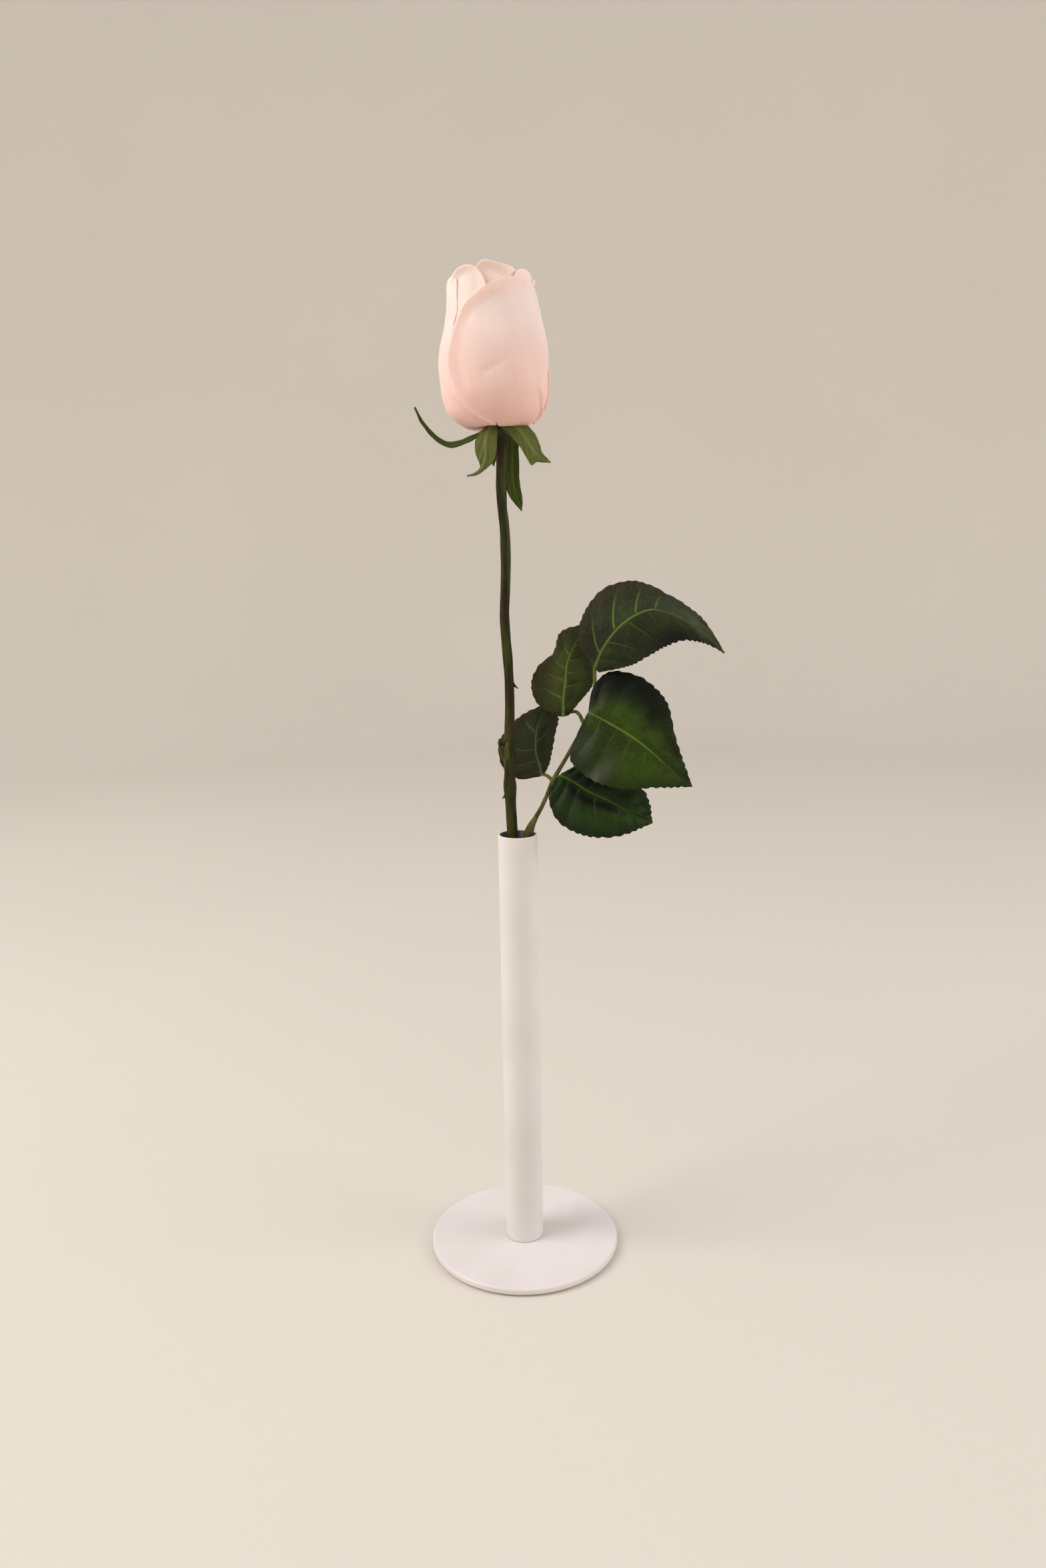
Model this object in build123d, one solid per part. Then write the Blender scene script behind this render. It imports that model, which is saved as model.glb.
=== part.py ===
from build123d import *
import os
from math import hypot

# Bud vase: a coated steel tube screwed upright to a round base disc, holding one artificial rose.
# Millimetres. +Z is up along the tube's axis. The origin is the centre of the foot pad's underside.
# +X points to the side that the leaves reach out to, and -Y is the front.

# ---------------------------------------------------------------- driving dimensions: vase
PAD_DIAMETER = 84.0
PAD_THICKNESS = 1.0
DISC_DIAMETER = 90.0
DISC_THICKNESS = 3.0
DISC_TOP_ROUND = 1.1
DISC_BOTTOM_ROUND = 0.6
TUBE_DIAMETER = 18.0
TUBE_WALL = 1.0
TUBE_LENGTH = 200.0
TUBE_RIM_ROUND = 0.4
SHADOW_GAP = 0.3                 # the plug stands this far out of the tube's lower end
PLUG_HEIGHT = 10.0
PLUG_CHAMFER = 0.8
SCREW_DIAMETER = 5.0
SCREW_LENGTH = 11.0
SCREW_HEAD_DIAMETER = 10.0
SCREW_HEAD_HEIGHT = 2.5
SCREW_TIP_ROOM = 0.5             # the plug's hole is this much deeper than the screw
SCREW_SOCKET_ACROSS_FLATS = 3.0
SCREW_SOCKET_DEPTH = 1.6

# ---------------------------------------------------------------- driving dimensions: rose stem
STEM_DIAMETER = 5.0
WIRE_DIAMETER = 1.4
CAP_DIAMETER = 7.6
CAP_HEIGHT = 10.0
CAP_FLOOR = 2.0
CAP_ROUND = 1.2
CAP_STAND_OFF = 0.4              # room between the cap and the plug
FIT_GAP = 0.05                   # running clearance of the stem in its cap
STEM_BEND_RADIUS = 240.0
# Stem centre line as (x, z): straight in the lower tube, slightly crooked above it.
STEM_BENDS = [(0.0, 150.0), (-3.1, 232.0), (-2.4, 270.0), (-3.9, 306.0), (-2.8, 334.0), (-4.3, 364.0)]
STEM_TOP = (-3.7, 379.0)
WIRE_TOP = (-3.2, 394.0)
WIRE_HOLE_RADII = (0.75, 0.72)   # hole in the bud's core, slightly tapered
STEM_KNOT = (-2.4, 226.6)        # swelling of the stem where a leaf once grew
STEM_KNOT_RADIUS = 2.9

# ---------------------------------------------------------------- driving dimensions: leaf stalk
COLLAR_FOOT = (-0.6, 184.0)      # where the stalk leaves the stem, inside the tube
COLLAR_MIDDLE = (4.7, 203.0)
COLLAR_TOP = (7.6, 210.6)
COLLAR_RADII = (1.4, 2.15, 1.15)
STALK_RADIUS = 0.95
STALK_BENDS = [(13.9, 222.8), (19.8, 235.0), (26.6, 246.4), (33.4, 258.6)]
STALK_TOP = (35.3, 279.5)
STALK_BEND_RADIUS = 22.0
TWIG_RADII = (0.85, 0.65)
# Twigs from the stalk to the foot of each side leaflet, as (foot, tip) in space.
TWIGS = [
    ((16.6, 0.0, 229.2), (12.0, 6.6, 231.8)),
    ((17.2, 0.0, 230.2), (19.8, -1.7, 230.4)),
    ((31.6, 0.0, 255.4), (22.6, 3.4, 258.8)),
    ((31.8, 0.0, 256.2), (33.4, -6.3, 259.4)),
]

# ---------------------------------------------------------------- driving dimensions: leaflets
LEAF_THICKNESS = 0.9
# Outline as (x, z), depth of the leaf's middle in y, the line that it arches about, arch radius.
LEAFLETS = {
    "leaflet_top": (
        [(35.6, 279.6), (28.6, 287.0), (30.6, 302.6), (39.8, 314.0), (53.0, 317.0), (66.0, 312.0),
         (78.5, 304.0), (89.0, 293.6), (92.6, 285.8), (84.0, 289.4), (70.0, 289.6), (56.5, 282.4),
         (45.0, 279.0)],
        -1.6, (36.0, 284.0), (92.0, 292.0), 60.0),
    "leaflet_upper_left": (
        [(21.8, 259.4), (13.0, 261.0), (7.4, 268.4), (8.6, 277.6), (16.2, 284.2), (19.0, 293.2),
         (26.0, 297.4), (31.4, 289.0), (34.6, 276.0), (31.0, 267.0), (26.0, 260.6)],
        4.6, (22.0, 258.0), (26.0, 297.0), 40.0),
    "leaflet_right": (
        [(33.0, 260.0), (35.4, 271.4), (44.0, 277.6), (59.0, 273.2), (68.4, 262.0), (72.4, 246.0),
         (75.0, 234.0), (79.0, 225.4), (68.0, 226.6), (52.0, 224.0), (37.0, 227.2), (25.2, 236.4),
         (26.0, 247.0)],
        -7.6, (33.0, 259.0), (79.0, 225.4), 90.0),
    "leaflet_lower_left": (
        [(11.6, 232.0), (14.8, 237.6), (18.2, 253.0), (18.6, 260.6), (9.6, 259.8), (-0.2, 254.0),
         (-8.4, 245.6), (-8.0, 237.0), (1.0, 230.4), (8.0, 230.2)],
        8.0, (11.0, 231.0), (8.0, 260.0), 45.0),
    "leaflet_lower_right": (
        [(20.0, 230.4), (15.4, 226.0), (15.4, 217.0), (20.6, 208.8), (31.0, 203.4), (44.0, 202.8),
         (56.8, 205.8), (61.4, 209.0), (58.6, 221.0), (45.0, 226.0), (31.0, 232.0)],
        -3.0, (20.0, 231.0), (61.4, 208.6), 60.0),
}

# ---------------------------------------------------------------- driving dimensions: bud
BUD_FOOT = (-3.7, 381.6)         # centre of the bud's underside
BUD_LEAN = -2.6                  # degrees about Y, towards -X
# Half of the bud's outline as (radius, height above its underside).
BUD_PROFILE = [(3.0, 0.4), (11.0, 0.8), (20.4, 6.5), (23.0, 20.0), (20.8, 42.0), (17.6, 61.0), (17.0, 69.0)]
CORE_PROFILE = [(0.0, 8.0), (9.0, 11.0), (12.6, 24.0), (12.2, 42.0), (9.0, 57.0), (0.0, 64.0)]
PETAL_THICKNESS = 0.9
PETALS_IN_RING = 3
PETAL_GAP = 1.5                  # degrees between neighbours in a ring
# Rings of petals: name, distance inside the outline, first petal's angle, height of the top edge.
PETAL_RINGS = [("outer", 0.0, -150.0, 60.5), ("middle", 2.4, -95.0, 64.0), ("inner", 4.8, -40.0, 67.5)]
CUP_RADII = (3.1, 6.4, 7.4)
CUP_HEIGHTS = (-7.0, -2.6, -0.1)
SEPAL_THICKNESS = 0.9
SEPAL_TAPER = [0.6, 1.0, 0.85, 0.55, 0.2]
# Sepals: angle about the calyx, width, and the blade's line as (distance out, height).
SEPALS = [
    (186, 5.0, [(6.6, -1.4), (15.0, -3.2), (24.0, -4.2), (31.0, 0.8), (36.6, 9.6)]),
    (236, 8.6, [(6.6, -1.4), (8.6, -4.0), (10.4, -8.0), (11.6, -12.4), (12.6, -17.6)]),
    (318, 10.6, [(6.6, -1.4), (9.4, -3.0), (13.0, -6.4), (16.8, -10.4), (20.4, -15.0)]),
    (50, 5.4, [(6.6, -1.4), (8.8, -6.0), (10.0, -14.0), (10.6, -23.0), (10.8, -32.0)]),
    (116, 7.0, [(6.6, -1.4), (8.6, -3.6), (10.2, -6.8), (11.2, -10.0), (11.6, -13.2)]),
]


# ---------------------------------------------------------------- helpers
def export(shape, name):
    export_step(shape, f"parts/{name}.step")


def cylinder_between(radius, z_low, z_high):
    height = z_high - z_low
    return Pos(0, 0, z_low) * Cylinder(radius, height, align=(Align.CENTER, Align.CENTER, Align.MIN))


def in_front_plane(point):
    """A point given as (x, z), put in the plane of the tube's axis."""
    return Vector(point[0], 0, point[1])


def rod(points, radius, bend_radius):
    """Round rod along straight runs joined by tangent arcs."""
    path = FilletPolyline(*[in_front_plane(p) for p in points], radius=bend_radius)
    start = Plane(origin=path @ 0, z_dir=path % 0)
    return sweep(start * Circle(radius), path=path)


def cone_between(low, high, radius_low, radius_high):
    """Straight round taper from one point in space to another."""
    low = Vector(*low)
    along = Vector(*high) - low
    plane = Plane(origin=low, z_dir=along)
    return plane * Cone(radius_low, radius_high, along.length, align=(Align.CENTER, Align.CENTER, Align.MIN))


# ---------------------------------------------------------------- vase
disc_top = PAD_THICKNESS + DISC_THICKNESS
tube_foot = disc_top + SHADOW_GAP
tube_top = tube_foot + TUBE_LENGTH
bore_radius = TUBE_DIAMETER / 2 - TUBE_WALL
plug_top = disc_top + PLUG_HEIGHT
head_top = PAD_THICKNESS + SCREW_HEAD_HEIGHT


def make_foot_pad():
    return cylinder_between(PAD_DIAMETER / 2, 0, PAD_THICKNESS)


def screw_outline(tip_z):
    """Countersunk head under a plain shank that ends at tip_z."""
    head_radius = SCREW_HEAD_DIAMETER / 2
    shank_radius = SCREW_DIAMETER / 2
    head = cone_between((0, 0, PAD_THICKNESS), (0, 0, head_top), head_radius, shank_radius)
    return head + cylinder_between(shank_radius, head_top, tip_z)


def make_base_screw():
    hexagon = RegularPolygon(SCREW_SOCKET_ACROSS_FLATS / 2, 6, major_radius=False)
    socket = Pos(0, 0, PAD_THICKNESS) * extrude(hexagon, SCREW_SOCKET_DEPTH)
    return screw_outline(PAD_THICKNESS + SCREW_LENGTH) - socket


def make_base_disc():
    disc = cylinder_between(DISC_DIAMETER / 2, PAD_THICKNESS, disc_top)
    disc = fillet(disc.edges().filter_by(GeomType.CIRCLE).sort_by(Axis.Z)[-1], DISC_TOP_ROUND)
    disc = fillet(disc.edges().filter_by(GeomType.CIRCLE).sort_by(Axis.Z)[0], DISC_BOTTOM_ROUND)
    return disc - screw_outline(disc_top)


def make_tube():
    tube = cylinder_between(TUBE_DIAMETER / 2, tube_foot, tube_top)
    tube -= cylinder_between(bore_radius, tube_foot, tube_top)
    rim = tube.edges().filter_by(GeomType.CIRCLE).group_by(Axis.Z)[-1]
    return fillet(rim, TUBE_RIM_ROUND)


def make_tube_end_plug():
    """Round plug in the tube's lower end, with a blind hole for the screw so that it holds water."""
    plug = cylinder_between(bore_radius, disc_top, plug_top)
    plug = chamfer(plug.edges().filter_by(GeomType.CIRCLE).sort_by(Axis.Z)[-1], PLUG_CHAMFER)
    return plug - screw_outline(PAD_THICKNESS + SCREW_LENGTH + SCREW_TIP_ROOM)


# ---------------------------------------------------------------- rose stem
cap_foot = plug_top + CAP_STAND_OFF
cap_top = cap_foot + CAP_HEIGHT
stem_line = [(0.0, cap_foot + CAP_FLOOR + FIT_GAP)] + STEM_BENDS + [STEM_TOP]
solid_stem = rod(stem_line, STEM_DIAMETER / 2, STEM_BEND_RADIUS)
wire = rod(stem_line[:-1] + [WIRE_TOP], WIRE_DIAMETER / 2, STEM_BEND_RADIUS)


def make_stem_end_cap():
    cap = cylinder_between(CAP_DIAMETER / 2, cap_foot, cap_top)
    cap = fillet(cap.edges().filter_by(GeomType.CIRCLE).sort_by(Axis.Z)[0], CAP_ROUND)
    return cap - cylinder_between(STEM_DIAMETER / 2 + FIT_GAP, cap_foot + CAP_FLOOR, cap_top)


def make_stem():
    knot = Pos(*in_front_plane(STEM_KNOT)) * Sphere(STEM_KNOT_RADIUS)
    return solid_stem + knot - wire


def make_stem_thorns():
    """Two moulded thorns: a hooked one on the right and a small one low on the left."""
    right = cone_between((-2.2, 0, 272.6), (2.2, -0.6, 269.8), 1.7, 0.15)
    left = cone_between((-4.2, 0, 222.4), (-6.7, -0.4, 221.2), 1.3, 0.15)
    return Compound([right - solid_stem, left - solid_stem])


def make_leaf_socket():
    """Sheath of a leaf that is gone: a slanted cup open at its top, on the stem's left side."""
    foot = (-5.2, 0, 234.5)
    rim = (-6.4, 0, 249.0)
    hollow_foot = (-5.9, 0, 243.6)
    cup = cone_between(foot, rim, 2.0, 2.2)
    hollow = cone_between(hollow_foot, rim, 0.8, 1.3)
    return cup - hollow - solid_stem


# ---------------------------------------------------------------- leaf stalk and leaflets
def make_leaf_stalk():
    """Thick collar that leaves the stem inside the tube, then a thin stalk with side twigs."""
    foot, middle, top = [in_front_plane(p) for p in (COLLAR_FOOT, COLLAR_MIDDLE, COLLAR_TOP)]
    stalk = cone_between(foot, middle, COLLAR_RADII[0], COLLAR_RADII[1])
    stalk += Pos(*middle) * Sphere(COLLAR_RADII[1])
    stalk += cone_between(middle, top, COLLAR_RADII[1], COLLAR_RADII[2])
    stalk += rod([COLLAR_TOP] + STALK_BENDS + [STALK_TOP], STALK_RADIUS, STALK_BEND_RADIUS)
    for twig_foot, twig_tip in TWIGS:
        stalk += cone_between(twig_foot, twig_tip, TWIG_RADII[0], TWIG_RADII[1])
        stalk += Pos(*twig_tip) * Sphere(TWIG_RADII[1])
    return stalk - solid_stem


def make_leaflet(outline, depth, arch_from, arch_to, arch_radius):
    """Outline pushed through in Y, cut by a thin cylindrical shell that runs along the leaf."""
    edge = Spline(*[in_front_plane(p) for p in outline], periodic=True)
    block = extrude(make_face(edge), arch_radius / 2, dir=(0, 1, 0), both=True)
    along = in_front_plane(arch_to) - in_front_plane(arch_from)
    middle = (in_front_plane(arch_from) + in_front_plane(arch_to)) * 0.5
    shell_axis = Plane(origin=middle + Vector(0, depth + arch_radius, 0), z_dir=along)
    shell = shell_axis * Cylinder(arch_radius + LEAF_THICKNESS / 2, 2 * along.length)
    shell -= shell_axis * Cylinder(arch_radius - LEAF_THICKNESS / 2, 2 * along.length)
    return (block & shell).solids().sort_by(Axis.Y)[0]


# ---------------------------------------------------------------- calyx, sepals and bud
bud_frame = Location((BUD_FOOT[0], 0, BUD_FOOT[1]), (0, BUD_LEAN, 0))


def make_calyx_cup():
    """Flared cup under the bud, standing on the stem's upper end."""
    levels = [(0, 0, height) for height in CUP_HEIGHTS]
    cup = cone_between(levels[0], levels[1], CUP_RADII[0], CUP_RADII[1])
    cup += cone_between(levels[1], levels[2], CUP_RADII[1], CUP_RADII[2])
    return bud_frame * cup - solid_stem - wire


calyx_cup = make_calyx_cup()


def make_sepal(angle, width, line):
    """Pointed strip: flat sections set square to the blade's line and lofted."""
    guide = Spline(*[Vector(out, 0, up) for out, up in line])
    sections = []
    for index, taper in enumerate(SEPAL_TAPER):
        along = index / (len(SEPAL_TAPER) - 1)
        plane = Plane(origin=guide @ along, x_dir=(0, 1, 0), z_dir=guide % along)
        sections.append(plane * Rectangle(width * taper, SEPAL_THICKNESS))
    return Location((BUD_FOOT[0], 0, BUD_FOOT[1]), (0, 0, angle)) * loft(sections) - calyx_cup


def inset_profile(distance):
    """The bud's outline moved inwards, square to itself."""
    moved = []
    last = len(BUD_PROFILE) - 1
    for index, (radius, height) in enumerate(BUD_PROFILE):
        before = BUD_PROFILE[max(index - 1, 0)]
        after = BUD_PROFILE[min(index + 1, last)]
        step_r = after[0] - before[0]
        step_h = after[1] - before[1]
        length = hypot(step_r, step_h)
        moved.append((radius - distance * step_h / length, height + distance * step_r / length))
    return moved


def make_petal(inset, first_angle, top):
    """Sector of a thin shell between two insets of the bud's outline, open at its top edge."""
    outside = [in_front_plane(p) for p in inset_profile(inset)]
    inside = [in_front_plane(p) for p in inset_profile(inset + PETAL_THICKNESS)]
    outline = Spline(*outside) + Line(outside[-1], inside[-1])
    outline += Spline(*reversed(inside)) + Line(inside[0], outside[0])
    section = Rot(0, 0, first_angle) * make_face(outline)
    petal = revolve(section, Axis.Z, 360 / PETALS_IN_RING - PETAL_GAP)
    below_top = cylinder_between(2 * BUD_PROFILE[3][0], -10, top)
    return bud_frame * (petal & below_top)


def make_bud_core():
    """Foam core with a hole for the wire's straight upper end."""
    outline = Spline(*[in_front_plane(p) for p in CORE_PROFILE])
    outline += Line(in_front_plane(CORE_PROFILE[-1]), in_front_plane(CORE_PROFILE[0]))
    hole_foot = in_front_plane(STEM_BENDS[-1])
    hole = cone_between(hole_foot, in_front_plane(WIRE_TOP), *WIRE_HOLE_RADII)
    return bud_frame * revolve(make_face(outline), Axis.Z, 360) - hole


# ---------------------------------------------------------------- write the parts
os.makedirs("parts", exist_ok=True)
export(make_foot_pad(), "foot_pad")
export(make_base_disc(), "base_disc")
export(make_base_screw(), "base_screw")
export(make_tube_end_plug(), "tube_end_plug")
export(make_tube(), "tube")
export(make_stem_end_cap(), "stem_end_cap")
export(wire, "stem_wire")
export(make_stem(), "stem")
export(make_stem_thorns(), "stem_thorns")
export(make_leaf_socket(), "leaf_socket")
export(make_leaf_stalk(), "leaf_stalk")
for name, shape in LEAFLETS.items():
    export(make_leaflet(*shape), name)
export(calyx_cup, "calyx_cup")
for number, sepal in enumerate(SEPALS, start=1):
    export(make_sepal(*sepal), f"sepal_{number}")
export(make_bud_core(), "bud_core")
for ring, inset, first_angle, top in PETAL_RINGS:
    for number in range(PETALS_IN_RING):
        angle = first_angle + number * 360 / PETALS_IN_RING
        export(make_petal(inset, angle, top), f"petal_{ring}_{number + 1}")
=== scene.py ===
import math

import bpy
import numpy as np
from mathutils import Matrix, Vector, noise


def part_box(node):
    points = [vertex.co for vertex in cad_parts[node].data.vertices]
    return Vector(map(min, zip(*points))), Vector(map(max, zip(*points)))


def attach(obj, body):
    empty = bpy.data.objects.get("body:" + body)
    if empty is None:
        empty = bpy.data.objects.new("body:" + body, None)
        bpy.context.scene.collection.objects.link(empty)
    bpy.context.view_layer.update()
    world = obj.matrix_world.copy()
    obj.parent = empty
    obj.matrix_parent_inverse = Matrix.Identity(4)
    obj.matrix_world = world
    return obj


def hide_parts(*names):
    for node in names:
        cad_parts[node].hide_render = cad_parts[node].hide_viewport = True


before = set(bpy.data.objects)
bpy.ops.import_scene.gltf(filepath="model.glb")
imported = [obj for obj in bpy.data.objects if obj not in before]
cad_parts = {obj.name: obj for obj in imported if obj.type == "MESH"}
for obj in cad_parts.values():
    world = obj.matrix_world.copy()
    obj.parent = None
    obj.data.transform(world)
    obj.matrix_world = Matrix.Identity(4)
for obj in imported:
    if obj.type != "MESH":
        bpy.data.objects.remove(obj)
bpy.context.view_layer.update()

# Bud vase of coated steel tube on a round disc, holding one artificial rose.
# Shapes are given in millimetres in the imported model's frame and turned into metres when a mesh is made.
MM = 0.001


def box_mm(node):
    """Lowest and highest corner of a CAD node, in millimetres."""
    low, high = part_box(node)
    return np.array(low) / MM, np.array(high) / MM


# ---------------------------------------------------------------- curves
def smooth_curve(points, count):
    """count points at even steps along a smooth curve through the given ones."""
    knots = np.array(points, float)
    steps = np.linalg.norm(np.diff(knots, axis=0), axis=1)
    at_knots = np.concatenate([[0.0], np.cumsum(steps)])
    slopes = np.diff(knots, axis=0) / steps[:, None]
    tangents = np.vstack([slopes[:1], slopes[:1], slopes[-1:]])
    if len(knots) > 2:
        weights = (steps[:-1] + steps[1:])[:, None]
        inner = (slopes[:-1] * steps[1:, None] + slopes[1:] * steps[:-1, None]) / weights
        tangents = np.vstack([slopes[:1], inner, slopes[-1:]])
    at = np.linspace(0, at_knots[-1], count)
    span = np.clip(np.searchsorted(at_knots, at, "right") - 1, 0, len(steps) - 1)
    length = steps[span][:, None]
    s = (at - at_knots[span])[:, None] / length
    return (
        (2 * s**3 - 3 * s**2 + 1) * knots[span]
        + (s**3 - 2 * s**2 + s) * length * tangents[span]
        + (3 * s**2 - 2 * s**3) * knots[span + 1]
        + (s**3 - s**2) * length * tangents[span + 1]
    )


def closed_curve(points, count):
    """Smooth closed curve through points, starting at the first, without repeating it."""
    overlap = 3
    around = smooth_curve(list(points[-overlap:]) + list(points) + list(points[:overlap]), count * 8)
    to_first = np.linalg.norm(around - np.array(points[0], float), axis=1)
    half = len(around) // 2
    first = np.argmin(to_first[:half])
    last = half + np.argmin(to_first[half:])
    return around[np.linspace(first, last, count, endpoint=False).astype(int)]


def unit(vectors):
    return vectors / np.maximum(np.linalg.norm(vectors, axis=-1, keepdims=True), 1e-9)


def ease(values, low, high):
    """0 below low, 1 above high, smooth between."""
    t = np.clip((values - low) / (high - low), 0, 1)
    return t * t * (3 - 2 * t)


def bumps(points, size, seed):
    """Smooth noise from -1 to 1 at each point, with features of that size in millimetres."""
    flat = np.array(points, float).reshape(-1, 3) / size + seed
    return np.array([noise.noise(Vector(p)) for p in flat]).reshape(np.shape(points)[:-1])


# ---------------------------------------------------------------- meshes
def grid_normals(grid):
    along = np.gradient(grid, axis=0)
    across = np.gradient(grid, axis=1)
    return unit(np.cross(across, along))


def strip_faces(rows, cols, first=0, flip=False, wrap=False):
    """Quads of a grid whose points are numbered row by row."""
    faces = []
    for row in range(rows - 1):
        for col in range(cols if wrap else cols - 1):
            after = (col + 1) % cols
            quad = [row * cols + col, row * cols + after, (row + 1) * cols + after, (row + 1) * cols + col]
            quad = [first + n for n in quad]
            faces.append(quad[::-1] if flip else quad)
    return faces


def sheet_mesh(grid, thickness):
    """Closed thin sheet about a grid of points: two faces and a rim."""
    rows, cols = grid.shape[:2]
    offset = grid_normals(grid) * (thickness / 2)[..., None]
    verts = np.vstack([(grid + offset).reshape(-1, 3), (grid - offset).reshape(-1, 3)])
    under = rows * cols
    faces = strip_faces(rows, cols) + strip_faces(rows, cols, under, flip=True)
    loop = [n for n in range(cols)]
    loop += [row * cols + cols - 1 for row in range(1, rows)]
    loop += [(rows - 1) * cols + n for n in range(cols - 2, -1, -1)]
    loop += [row * cols for row in range(rows - 2, 0, -1)]
    for here, after in zip(loop, loop[1:] + loop[:1]):
        faces.append([after, here, here + under, after + under])
    return verts, faces


def rod_mesh(path, radii, sides=20, flatten=1.0):
    """Round rod of changing radius along a path, closed at both ends."""
    path = np.array(path, float)
    tangents = unit(np.gradient(path, axis=0))
    side = unit(np.cross(tangents[0], [0.0, 1.0, 0.05]))
    rings = []
    for point, tangent, radius in zip(path, tangents, radii):
        side = unit(side - tangent * np.dot(side, tangent))
        other = np.cross(tangent, side)
        turn = np.linspace(0, 2 * math.pi, sides, endpoint=False)[:, None]
        rings.append(point + radius * (np.cos(turn) * side + flatten * np.sin(turn) * other))
    verts = np.vstack([np.vstack(rings), path[:1], path[-1:]])
    faces = strip_faces(len(path), sides, wrap=True)
    foot = len(path) * sides
    for n in range(sides):
        after = (n + 1) % sides
        faces.append([foot, after, n])
        faces.append([foot + 1, foot - sides + n, foot - sides + after])
    return verts, faces


def joined(meshes):
    """Several closed shells as one mesh."""
    verts, faces, first = [], [], 0
    for shell_verts, shell_faces in meshes:
        verts.append(shell_verts)
        faces += [[n + first for n in face] for face in shell_faces]
        first += len(shell_verts)
    return np.vstack(verts), faces


def add_piece(name, mesh_data, body, material, replaced=(), attributes=None):
    """Makes a smooth piece from points in millimetres and hangs it on its body."""
    verts, faces = mesh_data
    mesh = bpy.data.meshes.new(name)
    mesh.from_pydata((np.array(verts) * MM).tolist(), [], faces)
    mesh.polygons.foreach_set("use_smooth", [True] * len(mesh.polygons))
    for key, values in (attributes or {}).items():
        layer = mesh.attributes.new(key, "FLOAT", "POINT")
        layer.data.foreach_set("value", np.array(values, np.float32).ravel())
    mesh.materials.append(material)
    piece = bpy.data.objects.new(name, mesh)
    bpy.context.scene.collection.objects.link(piece)
    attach(piece, body)
    if replaced:
        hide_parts(*replaced)
    return piece


# ---------------------------------------------------------------- materials
def rgb(red, green, blue):
    """Screen colour from 0 to 255, as the linear colour that shaders take."""
    return tuple(((c / 255 + 0.055) / 1.055) ** 2.4 if c > 10 else c / 3294 for c in (red, green, blue)) + (1.0,)


class Finish:
    """A Principled material and the few nodes that its procedural detail needs."""

    def __init__(self, name, roughness=0.5, **constants):
        self.material = bpy.data.materials.new(name)
        self.material.use_nodes = True
        self.tree = self.material.node_tree
        self.shader = self.tree.nodes["Principled BSDF"]
        self.shader.inputs["Roughness"].default_value = roughness
        for socket, value in constants.items():
            self.shader.inputs[socket.replace("_", " ")].default_value = value
        self.place = self.tree.nodes.new("ShaderNodeTexCoord").outputs["Object"]
        self.normal = None

    def put(self, socket, value):
        if isinstance(value, (bpy.types.NodeSocket,)):
            self.tree.links.new(value, socket)
        else:
            socket.default_value = value

    def noise(self, size, detail=3.0, stretch=None):
        """Noise from 0 to 1 with features of that size in millimetres, drawn out by stretch."""
        place = self.place
        if stretch:
            mapping = self.tree.nodes.new("ShaderNodeMapping")
            mapping.inputs["Scale"].default_value = [1 / s for s in stretch]
            self.tree.links.new(place, mapping.inputs["Vector"])
            place = mapping.outputs["Vector"]
        node = self.tree.nodes.new("ShaderNodeTexNoise")
        node.inputs["Scale"].default_value = 1 / (size * MM)
        node.inputs["Detail"].default_value = detail
        self.tree.links.new(place, node.inputs["Vector"])
        return node.outputs["Fac"]

    def cells(self, size):
        """Distance to the edges of an irregular net with meshes of that size in millimetres."""
        node = self.tree.nodes.new("ShaderNodeTexVoronoi")
        node.feature = "DISTANCE_TO_EDGE"
        node.inputs["Scale"].default_value = 1 / (size * MM)
        self.tree.links.new(self.place, node.inputs["Vector"])
        return node.outputs["Distance"]

    def attribute(self, name):
        node = self.tree.nodes.new("ShaderNodeAttribute")
        node.attribute_name = name
        return node.outputs["Fac"]

    def span(self, value, low, high, to_low=0.0, to_high=1.0):
        """value moved from low..high to to_low..to_high and clamped."""
        node = self.tree.nodes.new("ShaderNodeMapRange")
        node.interpolation_type = "SMOOTHSTEP"
        for socket, number in zip(node.inputs, (value, low, high, to_low, to_high)):
            self.put(socket, number)
        return node.outputs["Result"]

    def math(self, operation, first, second=0.0):
        node = self.tree.nodes.new("ShaderNodeMath")
        node.operation = operation
        self.put(node.inputs[0], first)
        self.put(node.inputs[1], second)
        return node.outputs["Value"]

    def blend(self, share, first, second):
        """Colour that goes from first to second as share goes from 0 to 1."""
        node = self.tree.nodes.new("ShaderNodeMix")
        node.data_type = "RGBA"
        self.put(node.inputs["Factor"], share)
        self.put(node.inputs[6], first)
        self.put(node.inputs[7], second)
        return node.outputs[2]

    def along(self, axis):
        """One of the object coordinates, in metres."""
        node = self.tree.nodes.new("ShaderNodeSeparateXYZ")
        self.tree.links.new(self.place, node.inputs["Vector"])
        return node.outputs[axis]

    def bump(self, height, distance, strength=1.0):
        """Adds fine relief of that height in millimetres."""
        node = self.tree.nodes.new("ShaderNodeBump")
        node.inputs["Distance"].default_value = distance * MM
        node.inputs["Strength"].default_value = strength
        self.tree.links.new(height, node.inputs["Height"])
        if self.normal:
            self.tree.links.new(self.normal, node.inputs["Normal"])
        self.normal = node.outputs["Normal"]
        self.tree.links.new(self.normal, self.shader.inputs["Normal"])

    def colour(self, value):
        self.put(self.shader.inputs["Base Color"], value)

    def roughness(self, low, high, size):
        self.put(self.shader.inputs["Roughness"], self.span(self.noise(size), 0.3, 0.7, low, high))


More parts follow.
